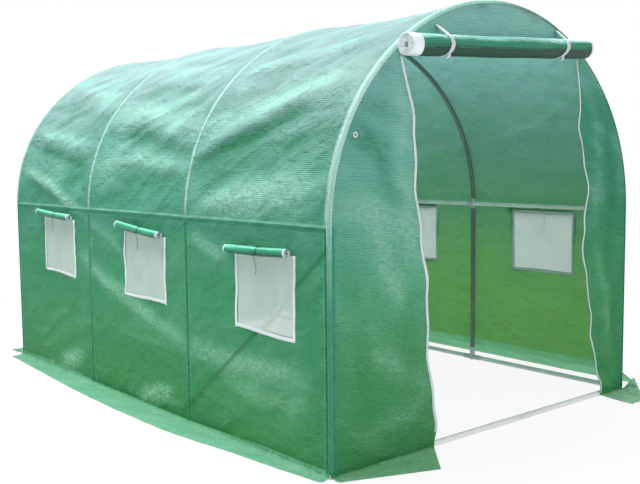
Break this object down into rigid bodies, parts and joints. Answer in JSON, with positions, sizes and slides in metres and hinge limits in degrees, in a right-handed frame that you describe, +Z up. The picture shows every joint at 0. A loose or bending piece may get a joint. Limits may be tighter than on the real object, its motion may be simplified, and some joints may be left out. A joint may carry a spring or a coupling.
{
  "type": "polytunnel greenhouse",
  "caption": "Walk-in polytunnel greenhouse: steel hoops on a ground frame, woven green cover, rolled-up door and mesh windows with rolled flaps.",
  "frame": {"origin": "middle of the footprint, on the ground", "axes": "+X across the tunnel to the right as seen from the doorway, +Y along it away from the doorway, +Z up"},
  "size_m": [2.3756, 3.4306, 1.9083],
  "materials": {
    "cover_sheet": "satin",
    "window_mesh": "matte",
    "white_tape": "matte",
    "steel_tube": "satin",
    "fittings": "satin"
  },
  "bodies": {
    "root": {"hoop_arch_1": "steel_tube", "hoop_arch_2": "steel_tube", "hoop_arch_3": "steel_tube", "hoop_arch_4": "steel_tube", "legs_left": "steel_tube", "legs_right": "steel_tube", "eave_rail_left": "steel_tube", "eave_rail_right": "steel_tube", "ridge_rail": "steel_tube", "ground_rails_left": "steel_tube", "ground_rails_right": "steel_tube", "ground_rail_front": "steel_tube", "ground_rail_rear": "steel_tube", "brace_left": "steel_tube", "brace_right": "steel_tube", "eave_clips_left": "fittings", "eave_clips_right": "fittings", "ridge_clips": "fittings", "feet_left": "fittings", "feet_right": "fittings", "cover_roof": "cover_sheet", "cover_wall_left": "cover_sheet", "cover_wall_right": "cover_sheet", "front_panel_over_door": "cover_sheet", "front_panel_left": "cover_sheet", "front_panel_right": "cover_sheet", "rear_panel": "cover_sheet", "skirt_left": "cover_sheet", "skirt_right": "cover_sheet", "skirt_front_left": "cover_sheet", "skirt_front_right": "cover_sheet", "skirt_rear": "cover_sheet", "door_roll": "cover_sheet", "window_flap_rolls_left": "cover_sheet", "window_flap_rolls_right": "cover_sheet", "window_flap_ties_left": "cover_sheet", "window_flap_ties_right": "cover_sheet", "window_meshes_left": "window_mesh", "window_meshes_right": "window_mesh", "door_ties": "white_tape", "door_zip_left": "white_tape", "door_zip_right": "white_tape", "front_eyelet": "white_tape", "window_bindings_left": "white_tape", "window_bindings_right": "white_tape"}
  },
  "joints": []
}
